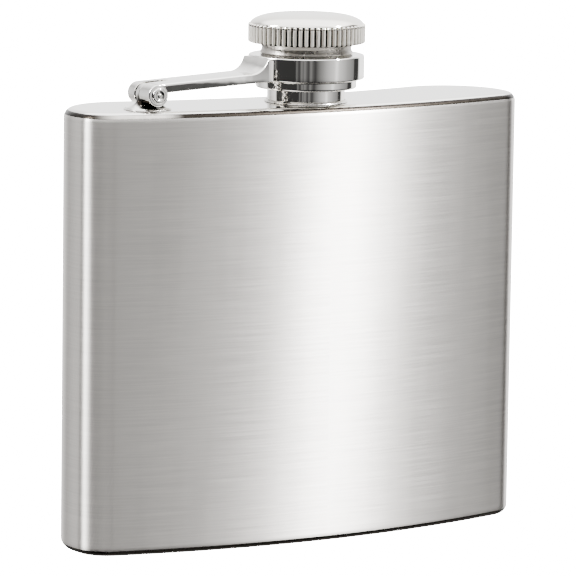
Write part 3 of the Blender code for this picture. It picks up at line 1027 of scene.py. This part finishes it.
@dataclass
class Neck:
    """The welded neck: a plain foot and a threaded mouth, open through."""

    middle: Pair
    floor: float
    radius: float = 7.32
    plain_top: float = 2.9
    rim: float = 9.8
    bore: float = 5.2
    spigot: float = 6.2
    spigot_depth: float = 2.2
    root: float = 6.1
    thread: Thread = field(default_factory=lambda: Thread(crest=0.5))

    def tube(self) -> Mesh:
        """Build the tube with its thread.

        Returns:
            The tube's mesh.
        """
        seat = 0.12
        foot = [
            (self.bore, -self.spigot_depth, 0.2),
            (self.spigot, -self.spigot_depth, 0.25),
            (self.spigot, seat, 0.0),
            (self.radius, seat, 0.08),
            (self.radius, self.plain_top, 0.3),
            (self.root, self.plain_top, 0.15),
        ]
        mouth = [(self.root, self.rim - 0.4, 0), (self.root, self.rim, 0.28)]
        mouth += [(self.bore, self.rim, 0.25), (self.bore, self.rim - 0.4, 0)]
        line = rounded(foot, 5)
        line += [(self.root, z) for z in spread(self.plain_top + 0.1, self.rim - 0.45, 64)]
        line += rounded(mouth, 6) + [(self.bore, 4.0), (self.bore, 0.0)]

        def ridge(radius: float, angle: float, z: float) -> float:
            """The thread's rise on the outer face."""
            on_face = abs(radius - self.root) < 0.01 and z > self.plain_top
            return self.thread.crest * self.thread.height(angle, z) if on_face else 0.0

        return turned("neck_tube_turned", line, self.middle, self.floor, swell=ridge)

    def foot_weld(self) -> Mesh:
        """Build the bead round the foot.

        Returns:
            The bead's mesh.
        """
        near = self.radius + 0.06
        bead = [(near, 0.06, 0), (near + 0.52, 0.06, 0.04), (near + 0.3, 0.34, 0.16), (near, 0.5, 0.04)]
        line = rounded(bead, 4, True)

        def ripple(radius: float, angle: float, z: float) -> float:
            """The bead's small ripples, on its outer side."""
            return 0.008 * math.sin(58 * angle) * min(1.0, max(0.0, radius - near) / 0.3)

        return turned("neck_foot_weld", line, self.middle, self.floor, steps=464, swell=ripple)

    def build(self, dresser: Dresser) -> None:
        """Build and dress the neck."""
        dresser.dress(self.tube(), Body.FLASK, Slot.POLISHED, "neck_tube")
        dresser.dress(self.foot_weld(), Body.FLASK, Slot.WELD, "neck_weld")


@dataclass
class Cap:
    """The ridged cap, the threaded sleeve that turns in the arm's ring, its retaining ring and seal."""

    middle: Pair
    floor: float
    radius: float = 11.03
    knurl_depth: float = 0.6
    ridges: int = 62
    ridge_half_width: float = 0.4
    bottom: float = 11.08
    shoulder: float = 14.76
    dome_radius: float = 10.66
    dome_rise: float = 1.92
    dome_fullness: Pair = (4.0, 0.65)
    sleeve_radius: float = 8.35
    flare_radius: float = 8.85
    sleeve_top: float = 12.9
    necked_radius: float = 8.05
    inner_root: float = 7.68
    inner_crest: float = 7.3
    ring_bottom: float = 4.48
    ring_top: float = 8.95
    retainer_radius: float = 9.5
    retainer_bottom: float = 2.66
    gasket_radius: float = 7.0
    gasket_thickness: float = 1.3
    neck_rim: float = 9.8

    def ridge(self, radius: float, angle: float, z: float) -> float:
        """Rise of the ridges: upright half-round bars with rounded ends.

        Args:
            radius: Radius of the plain wall.
            angle: Angle round the axis.
            z: Height above the plate.

        Returns:
            How far the ridge stands out.
        """
        if radius < self.radius - self.knurl_depth - 0.3:
            return 0.0
        pitch = 2 * math.pi / self.ridges
        side = ((angle / pitch + 0.5) % 1.0 - 0.5) * pitch * radius
        low, high = self.bottom + 0.42, self.shoulder - 0.4
        end = max(low - z, z - high, 0.0)
        away = math.hypot(side, end) / self.ridge_half_width
        rise = self.knurl_depth * math.sqrt(max(0.0, 1 - away**2))
        return min(rise, self.radius - radius)

    def shell(self) -> Mesh:
        """Build the outer cap.

        Returns:
            The cap's mesh.
        """
        wall = self.radius - self.knurl_depth
        recess = self.flare_radius + 0.3
        ceiling = self.shoulder - 0.9
        line: list[Pair] = [(r, ceiling + self.rise(r, recess)) for r in (1.5, 4.0, 6.5, 8.2)]
        low, high, rim = self.bottom, self.shoulder, self.dome_radius
        skirt = [(8.4, ceiling, 0), (recess, ceiling, 0.3), (recess, low, 0.15)]
        line += rounded(skirt + [(wall, low, 0.22), (wall, low + 0.3, 0)], 4)
        levels = (low + 0.3, low + 0.8, high - 0.85, high - 0.55)  # close rows at the ridges' ends
        for start, stop, steps in zip(levels, levels[1:], (8, 5, 5)):
            line += [(wall, z) for z in spread(start, stop, steps)[1:]]
        turn = ((wall, -0.5), (wall + 0.05, -0.36), (wall + 0.15, -0.2), (rim - 0.02, -0.07), (rim, -0.01))
        line += [(radius, high + rise) for radius, rise in turn]
        shares = (0.9995, 0.995, 0.985, 0.965, 0.935, 0.89, 0.83, 0.75, 0.65, 0.52, 0.38, 0.24, 0.1)
        line += [(rim * share, self.shoulder + self.rise(rim * share, rim)) for share in shares]
        return turned("cap_shell_ridged", line, self.middle, self.floor, False, self.ridges * 12, self.ridge)

    def rise(self, radius: float, rim_radius: float) -> float:
        """Height of the dome at a radius, which is flatter in the middle than a ball."""
        flatness, steepness = self.dome_fullness
        return self.dome_rise * (1 - (radius / rim_radius) ** flatness) ** steepness

    def sleeve(self) -> Mesh:
        """Build the threaded cup inside the cap.

        Returns:
            The sleeve's mesh.
        """
        low = self.retainer_bottom + 0.15
        thread = Thread(crest=self.inner_root - self.inner_crest, low=5.0, turns=2.0)
        roof = self.sleeve_top - 1.2
        crest, root = self.inner_crest, self.inner_root
        relief = [(3.0, roof, 0), (crest, roof, 0.3), (crest, 9.6, 0.1), (root, 9.3, 0.1), (root, 9.0, 0)]
        line = [(2.0, roof)] + rounded(relief, 4)
        line += [(self.inner_root, z) for z in spread(8.95, low + 0.4, 56)]
        line += rounded(
            [
                (self.inner_root, low + 0.3, 0),
                (self.inner_root, low, 0.12),
                (self.necked_radius, low, 0.1),
                (self.necked_radius, self.ring_bottom, 0.0),
                (self.sleeve_radius, self.ring_bottom + 0.2, 0.05),
                (self.sleeve_radius, self.ring_top + 0.15, 0.05),
                (self.sleeve_radius + 0.42, self.ring_top + 0.3, 0.15),
                (self.sleeve_radius + 0.02, self.bottom - 1.0, 0.8),
                (self.flare_radius - 0.1, self.bottom + 0.1, 0.2),
                (self.flare_radius, self.bottom + 0.3, 0.05),
                (self.flare_radius, self.sleeve_top, 0.3),
                (2.0, self.sleeve_top, 0),
            ],
            6,
        )

        def female(radius: float, angle: float, z: float) -> float:
            """The thread's rise towards the axis."""
            on_face = abs(radius - self.inner_root) < 0.01 and low + 0.3 < z < 9.0
            return -thread.crest * thread.height(angle, z) if on_face else 0.0

        return turned("cap_sleeve_threaded", line, self.middle, self.floor, False, swell=female)

    def retainer(self) -> Mesh:
        """Build the crimped ring below the arm's ring.

        Returns:
            The ring's mesh.
        """
        near = self.necked_radius + 0.2
        top = self.ring_bottom - 0.12
        out = self.retainer_radius
        low = self.retainer_bottom
        line = rounded([(near, low, 0.08), (out, low, 0.4), (out, top, 0.28), (near, top, 0.05)], 7, True)
        return turned("retaining_ring_crimped", line, self.middle, self.floor)

    def gasket(self) -> Mesh:
        """Build the sealing disc.

        Returns:
            The disc's mesh.
        """
        low = self.neck_rim + 0.3
        high = low + self.gasket_thickness
        line = [(1.0, low), (4.6, low), (4.7, low + 0.06), (6.6, low + 0.06), (6.7, low)]
        out = self.gasket_radius
        line += rounded([(6.75, low, 0), (out, low, 0.12), (out, high, 0.2), (1.0, high, 0)], 5)
        return turned("sealing_disc", line, self.middle, self.floor, False)

    def build(self, dresser: Dresser) -> None:
        """Build and dress the cap."""
        shoulder = self.floor + self.shoulder
        knurled = KnurledStainless("knurled_stainless_steel", "#F7F3EA", self.middle, shoulder=shoulder)
        dresser.dress(self.shell(), Body.CAP, Slot.POLISHED, "cap_shell", finish=knurled)
        dresser.dress(self.sleeve(), Body.CAP, Slot.POLISHED, "cap_sleeve", finish=SATIN_TURNED)
        dresser.dress(self.retainer(), Body.CAP, Slot.POLISHED, "cap_retaining_ring")
        dresser.dress(self.gasket(), Body.CAP, Slot.GASKET, "cap_gasket")


# Arm and hinge ----------------------------------------------------------------------------------


@dataclass
class Arm:
    """The pressed channel with two knuckles, and the ring that holds the cap."""

    middle: Pair
    floor: float
    hinge_x: float = -34.2
    hinge_height: float = 2.9
    knuckle: float = 2.05
    half_width: float = 4.1
    half_width_at_ring: float = 4.6
    sheet: float = 0.7
    top_at_hinge: float = 5.0
    bottom_at_hinge: float = 3.2
    slope: float = 0.052
    lean: float = 0.4  # how far the flanks lean in at the hinge, so that they mirror the dark floor
    lean_at_ring: float = 0.03
    fillet: float = 3.4
    ring_bottom: float = 4.48
    ring_top: float = 8.95
    ring_radius: float = 10.91
    ring_bore: float = 8.65
    slot_width: float = 1.9
    slot_length: float = 4.4
    slot_offset: float = 0.55
    pin_hole: float = 1.15

    def section(self, x: float) -> list[Point]:
        """The channel's section at one place along X from the cap's axis.

        Args:
            x: Distance from the cap's axis.

        Returns:
            Points of the section's closed outline.
        """
        along = x - self.hinge_x
        flat_top = self.top_at_hinge + self.slope * along
        bottom = self.bottom_at_hinge + self.slope * along
        under = flat_top - self.sheet
        into = min(max((x + self.ring_radius + self.fillet) / self.fillet, 0.0), 1.0)
        top = min(flat_top + self.fillet * (1 - math.sqrt(1 - into**2)), self.ring_top - 0.25)
        half = self.half_width + (self.half_width_at_ring - self.half_width) * into
        web = self.sheet
        share = min(along / (-self.ring_radius - self.hinge_x), 1.0)
        low = half - self.lean - (self.lean_at_ring - self.lean) * share
        line = rounded(
            [
                (low, bottom, 0.18),
                (half, top, 0.38),
                (-half, top, 0.38),
                (-low, bottom, 0.18),
                (web - low, bottom, 0.12),
                (web - half, under, 0.25),
                (half - web, under, 0.25),
                (low - web, bottom, 0.12),
            ],
            6,
            ring=True,
        )
        x0, y0 = self.middle
        return [(x0 + x, y0 + y, self.floor + z) for y, z in line]

    def channel(self) -> Object:
        """Build the arm with its knuckles, slot, pin hole and ring seat.

        Returns:
            The arm.
        """
        start = -self.ring_radius - self.fillet
        stations = spread(self.hinge_x, start, 12)
        stations += [start + self.fillet * math.sin(math.radians(5 * k)) for k in range(1, 18)]
        stations.append(-9.2)
        arm = shaded(lofted("arm_channel", [self.section(x) for x in stations]))
        x, y, z = self.middle[0] + self.hinge_x, self.middle[1], self.floor + self.hinge_height
        half, r = self.half_width, self.knuckle
        end = rounded([(0.9, half, 0), (r, half, 0.22), (r, half - 0.6, 0)], 5)
        profile = [(radius, -along) for radius, along in end] + end[::-1]
        combined(arm, "UNION", drum("knuckles", profile, x, y, z))
        low = y + self.slot_offset - self.slot_width / 2
        high = low + self.slot_width
        far = x + self.slot_length
        outline = rounded([(x - 4, low, 0), (far, low, 0.94), (far, high, 0.94), (x - 4, high, 0)], 8, True)
        slot = lofted("lug_slot", [[(px, py, z + dz) for px, py in outline] for dz in (-4.0, 4.0)])
        combined(arm, "DIFFERENCE", slot)
        hole = [(self.pin_hole, -6.0), (self.pin_hole, 6.0)]
        combined(arm, "DIFFERENCE", drum("pin_hole", hole, x, y, z, 48))
        seat = [circle(self.ring_radius + 0.1, self.floor + h, 240, self.middle) for h in (-1.0, 12.0)]
        combined(arm, "DIFFERENCE", lofted("ring_seat", seat))
        return arm

    def ring(self) -> Mesh:
        """Build the ring in which the cap turns.

        Returns:
            The ring's mesh.
        """
        line = rounded(
            [
                (self.ring_bore, self.ring_bottom, 0.12),
                (self.ring_radius, self.ring_bottom, 0.3),
                (self.ring_radius, self.ring_top, 0.32),
                (self.ring_bore, self.ring_top, 0.3),
            ],
            7,
            ring=True,
        )
        return turned("cap_ring", line, self.middle, self.floor, steps=240)

    def build(self, dresser: Dresser) -> None:
        """Build and dress the arm and its ring."""
        dresser.dress(self.channel(), Body.ARM, Slot.POLISHED, "cap_arm", finish=HAND_BUFFED)
        dresser.dress(self.ring(), Body.ARM, Slot.POLISHED, "arm_ring")


@dataclass
class Hinge:
    """The welded foot with its lug, and the riveted pin."""

    x: float
    y: float
    floor: float
    height: float = 2.9
    knuckle: float = 2.05
    foot_length: float = 3.95
    foot_width: float = 3.45
    lug: float = 1.3
    lug_offset: float = 0.55
    pin_hole: float = 1.15
    pin: float = 1.0
    rivet: float = 1.45
    rivet_rise: float = 0.35
    shoulder: float = 4.22

    def oval(self, half_length: float, half_width: float, z: float, steps: int = 96) -> list[Point]:
        """A level loop with full ends, wider than an ellipse.

        Args:
            half_length: Half its size along X.
            half_width: Half its size along Y.
            z: Height above the plate.
            steps: How many points.

        Returns:
            Points of the loop.
        """
        points = []
        for turn in around(steps):
            c, s = math.cos(turn), math.sin(turn)
            px = half_length * math.copysign(abs(c) ** 0.75, c)
            py = half_width * math.copysign(abs(s) ** 0.75, s)
            points.append((self.x + px, self.y + py, self.floor + z))
        return points

    def bracket(self) -> Object:
        """Build the foot and its lug.

        Returns:
            The bracket.
        """
        length, width = self.foot_length, self.foot_width
        foot = [self.oval(length - 0.1, width - 0.1, 0.1), self.oval(length, width, 0.18)]
        flare_line = ((0.98, 0.97, 0.3), (0.93, 0.88, 0.42), (0.86, 0.74, 0.56), (0.78, 0.58, 0.74))
        flare_line += ((0.7, 0.44, 0.98), (0.62, 0.32, 1.3), (0.56, 0.25, 1.7))
        foot += [self.oval(length * s, width * w, z) for s, w, z in flare_line]
        bracket = shaded(lofted("hinge_bracket_flared", foot))
        flare = [(2.75, 0.4), (2.45, 0.56), (2.2, 0.75), (1.98, 0.98), (1.85, 1.2), (1.77, 1.5), (1.75, 1.8)]
        radius = self.knuckle - 0.15
        start = math.asin((flare[-1][1] - self.height + 0.25) / radius)
        outline = [(x, z - self.height) for x, z in flare]
        outline += [(radius * math.cos(t), radius * math.sin(t)) for t in spread(start, math.pi - start, 28)]
        outline += [(-x, z - self.height) for x, z in reversed(flare)]
        half, level, middle = self.lug / 2, self.floor + self.height, self.y + self.lug_offset
        rows = []
        for side, size in ((half, 0.95), (half - 0.1, 1.0), (0.1 - half, 1.0), (-half, 0.95)):
            row = [(self.x + x * size, middle + side, level + z * (size if z > 0 else 1)) for x, z in outline]
            rows.append(row)
        combined(bracket, "UNION", lofted("lug", rows))
        hole = [(self.pin_hole, -6.0), (self.pin_hole, 6.0)]
        combined(bracket, "DIFFERENCE", drum("lug_hole", hole, self.x, self.y, level, 48))
        return bracket

    def foot_weld(self) -> Mesh:
        """Build the bead round the foot.

        Returns:
            The bead's mesh.
        """
        section = rounded([(0.12, 0.06, 0), (0.4, 0.06, 0.03), (0.26, 0.18, 0.08), (0.12, 0.22, 0)], 4, True)
        rows = [self.oval(self.foot_length + out, self.foot_width + out, z, 144) for out, z in section]
        return lofted("bracket_foot_weld", rows, ring=True)

    def rivet_pin(self) -> Mesh:
        """Build the pin with a formed head at each end: a raised rim round a small dimple.

        Returns:
            The pin's mesh.
        """
        tip, out = self.shoulder + self.rivet_rise, self.rivet
        head = [(self.pin, self.shoulder), (out - 0.03, self.shoulder), (out, self.shoulder + 0.05)]
        rim = ((out - 0.02, 0.16), (out - 0.1, 0.06), (out - 0.25, 0.01), (out - 0.42, 0.0))
        dimple = ((0.86, 0.03), (0.74, 0.12), (0.6, 0.2), (0.46, 0.2))
        dimple += ((0.36, 0.12), (0.24, 0.05), (0.1, 0.02))
        head += [(radius, tip - depth) for radius, depth in rim + dimple]
        profile = [(radius, -along) for radius, along in reversed(head)] + head
        return drum("hinge_pin_riveted", profile, self.x, self.y, self.floor + self.height, 64)

    def build(self, dresser: Dresser) -> None:
        """Build and dress the hinge."""
        # The bracket is painted dark as shade round its root, and keeps the buffed colour away from it.
        root = (self.x, self.y - 1.0, self.floor + 1.2)
        root_shade_finish = PaintedShadeSteel("painted_shade_bracket_steel", "#1C1815", "#EFEDE9", 0.1, root, 3.2, 2.4)
        dresser.dress(self.bracket(), Body.FLASK, Slot.POLISHED, "hinge_bracket", finish=root_shade_finish)
        dresser.dress(self.foot_weld(), Body.FLASK, Slot.WELD, "bracket_weld")
        dresser.dress(self.rivet_pin(), Body.FLASK, Slot.POLISHED, "hinge_pin")


# Studio -----------------------------------------------------------------------------------------


ROOM_RADIANCE = 5.0


def bearing_stops(scale: float, *bands: Pair) -> tuple[Pair, ...]:
    """Turn bearings in degrees into places on the room's ramps, which start behind the flask."""
    return tuple(((bearing + 180.0) / 360.0, value / scale) for bearing, value in bands)


# What the polished metal mirrors at eye level, from behind the flask on the left, round by the camera.
LEVEL_BANDS = bearing_stops(
    ROOM_RADIANCE,
    (-180, 3.0), (-150, 1.9), (-132, 0.9), (-102, 1.9), (-97, 0.06), (-80, 0.05),
    (-74, 0.16), (-68, 0.5), (-63, 0.16), (-59, 0.05), (-20.5, 0.045), (-19, 0.3),
    (-17.5, 0.14), (-13, 0.05), (-9, 0.3), (-6, 0.14), (-3, 0.3), (1, 0.15),
    (5, 0.06), (9, 0.3), (13, 0.14), (18, 0.06), (23, 0.18), (34, 0.42),
    (58, 1.2), (63, 1.9), (70, 1.1), (90, 0.55), (108, 0.32), (111, 0.05),
    (125, 0.06), (133, 3.0),
)
# The same round the room above the bands.
UPPER_BANDS = bearing_stops(
    1.0,
    (-180, 0.95), (-120, 0.85), (-10, 0.78), (22, 0.8), (48, 0.6), (72, 0.72),
    (95, 1.05), (130, 1.0), (180, 0.95),
)


@dataclass
class Camera:
    """A long lens 0.9 m away, at the three-quarter view."""

    azimuth: float = -31.556
    elevation: float = 8.453
    roll: float = 0.806
    distance: float = 886.4
    target: Point = (-3.907, -4.304, 47.495)
    lens: float = 294.1

    def build(self) -> None:
        """Make the camera and make it the scene's own."""
        data = bpy.data.cameras.new("camera")
        data.lens = self.lens
        data.sensor_width = 36.0
        data.clip_start = 0.05
        data.clip_end = 20.0
        camera = linked("camera", data)
        a, e = math.radians(self.azimuth), math.radians(self.elevation)
        back = Vector((math.sin(a) * math.cos(e), -math.cos(a) * math.cos(e), math.sin(e)))
        place = (Vector(self.target) + back * self.distance) * MM
        aim = (-back).to_track_quat("-Z", "Y").to_matrix().to_4x4()
        roll = Matrix.Rotation(math.radians(self.roll), 4, "Z")
        camera.matrix_world = Matrix.Translation(place) @ aim @ roll
        bpy.context.scene.camera = camera


@dataclass(frozen=True)
class Softbox:
    """A rectangular lamp that faces the flask. Its bearing is from the camera's, towards the right."""

    name: str
    bearing: float
    elevation: float
    distance: float
    width: float
    height: float
    radiance: float

    def build(self, camera_bearing: float, aim: Vector) -> None:
        """Make the lamp.

        Args:
            camera_bearing: World bearing of the camera, in degrees.
            aim: The point that it faces.
        """
        a, e = math.radians(camera_bearing + self.bearing), math.radians(self.elevation)
        out = Vector((math.cos(a) * math.cos(e), math.sin(a) * math.cos(e), math.sin(e)))
        data = bpy.data.lights.new(self.name, "AREA")
        data.shape = "RECTANGLE"
        data.size = self.width
        data.size_y = self.height
        data.energy = self.radiance * self.width * self.height * math.pi
        lamp = linked(self.name, data)
        facing = out.to_track_quat("Z", "Y").to_matrix().to_4x4()
        lamp.matrix_world = Matrix.Translation(aim + out * self.distance) @ facing
        lamp.visible_camera = False


@dataclass
class Studio:
    """A pale seamless sweep, soft boxes, and the room that the polished metal mirrors."""

    camera: Camera
    boxes: tuple[Softbox, ...] = (
        Softbox("key_strip", 82.4, 46.0, 0.9, 0.05, 0.12, 1750.0),
        Softbox("left_strip", -80.5, 35.0, 0.9, 0.14, 0.40, 88.0),
    )
    sweep_radius: float = 2.4
    sweep_cove: float = 0.5
    sweep_height: float = 3.0
    sweep_steps: int = 96
    sweep_drop: float = 0.0002
    cove_steps: int = 12
    sweep_glow: float = 30.0
    upper_from: Pair = (0.5, 0.72)  # where the level bands give way to the upper ones, as sines
    floor_from: Pair = (-0.16, -0.3)  # where the room below the flask darkens, as sines
    floor_share: float = 0.06

    def bearing(self) -> float:
        """World bearing of the camera, in degrees."""
        return -90.0 + self.camera.azimuth

    def sweep(self) -> None:
        """Make the floor and the curved wall behind it, which only the camera sees."""
        cove = self.sweep_cove
        line = [(0.02, 0.0), (0.3, 0.0), (1.0, 0.0), (self.sweep_radius - cove, 0.0)]
        for k in range(1, self.cove_steps + 1):
            t = math.pi / 2 * k / self.cove_steps
            line.append((self.sweep_radius - cove + cove * math.sin(t), cove * (1 - math.cos(t))))
        line.append((self.sweep_radius, self.sweep_height))
        rows = [circle(radius, z, self.sweep_steps) for radius, z in line]
        work = bmesh.new()
        verts = [[work.verts.new(p) for p in row] for row in rows]
        work.faces.new(verts[0])
        for lower, upper in zip(verts, verts[1:]):
            for i in range(self.sweep_steps):
                j = (i + 1) % self.sweep_steps
                work.faces.new((lower[i], lower[j], upper[j], upper[i]))
        mesh = bpy.data.meshes.new("studio_sweep")
        work.to_mesh(mesh)
        work.free()
        sweep = shaded(mesh)
        sweep.location.z = -self.sweep_drop
        material = bpy.data.materials.new("painted_sweep")
        material.use_nodes = True
        tree = material.node_tree
        paint = {
            "Base Color": linear("#F2F1EE"),
            "Roughness": 0.9,
            "Specular IOR Level": 0.0,
            "Emission Color": linear("#FFFEFC"),
            "Emission Strength": self.sweep_glow,
        }
        plug(tree, tree.nodes["Principled BSDF"], paint)
        mesh.materials.append(material)
        sweep.visible_glossy = False
        sweep.visible_diffuse = False
        sweep.visible_shadow = False

    def room(self) -> None:
        """Make the room's light: level bands by bearing, softer ones above, and dark below."""
        world = bpy.data.worlds.new("studio_room")
        bpy.context.scene.world = world
        world.use_nodes = True
        tree = world.node_tree
        tree.nodes.clear()
        place = add_node(tree, "ShaderNodeTexCoord").outputs["Generated"]
        height = add_node(tree, "ShaderNodeSeparateXYZ", {}, {0: place}).outputs[2]
        a = math.radians(self.bearing())
        ahead = vectors(tree, "DOT_PRODUCT", place, (math.cos(a), math.sin(a), 0.0))
        aside = vectors(tree, "DOT_PRODUCT", place, (-math.sin(a), math.cos(a), 0.0))
        share = ranged(tree, maths(tree, "ARCTAN2", aside, ahead), (-math.pi, math.pi))
        level, upper = (add_node(tree, "ShaderNodeValToRGB", {}, {0: share}) for _ in range(2))
        fill_ramp(level, LEVEL_BANDS, ease=False)
        fill_ramp(upper, UPPER_BANDS)
        rising = ranged(tree, height, self.upper_from, smooth=True)
        colour = mixed(tree, rising, level.outputs[0], upper.outputs[0])
        floor = ranged(tree, height, self.floor_from, (1.0, self.floor_share), True)
        strength = maths(tree, "MULTIPLY", floor, ROOM_RADIANCE)
        shade = add_node(tree, "ShaderNodeBackground", {}, {"Color": colour, "Strength": strength})
        add_node(tree, "ShaderNodeOutputWorld", {}, {"Surface": shade.outputs[0]})

    def build(self, aim: Vector) -> None:
        """Build the whole studio.

        Args:
            aim: The point that the soft boxes face.
        """
        self.camera.build()
        self.sweep()
        for box in self.boxes:
            box.build(self.bearing(), aim)
        self.room()


def main() -> None:
    """Build the flask on its frame, and the studio round it."""
    logging.basicConfig(level=logging.INFO, format="%(message)s")
    body = FlaskBody(BodyPlan(), height=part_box("top_plate")[1].z / MM)
    low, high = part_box("neck_tube")
    middle = (0.0, (low.y + high.y) / 2 / MM)
    dresser = Dresser(
        {
            Slot.BRUSHED: BrushedStainless("brushed_stainless_steel", "#DEDAD5"),
            Slot.POLISHED: BuffedStainless("buffed_stainless_steel", "#EFEDE9"),
            Slot.WELD: WeldMetal("dressed_weld_metal", "#D9D6D1"),
            Slot.GASKET: SiliconeRubber("moulded_silicone_rubber", "#E4E3DE"),
        }
    )
    body.build(dresser, middle[1])
    Neck(middle, body.height).build(dresser)
    Cap(middle, body.height).build(dresser)
    arm = Arm(middle, body.height)
    arm.build(dresser)
    Hinge(middle[0] + arm.hinge_x, middle[1], body.height).build(dresser)
    middle_of_flask = Vector((0.0, 0.0, 0.045))
    Studio(Camera()).build(middle_of_flask)


if __name__ == "__main__":
    main()
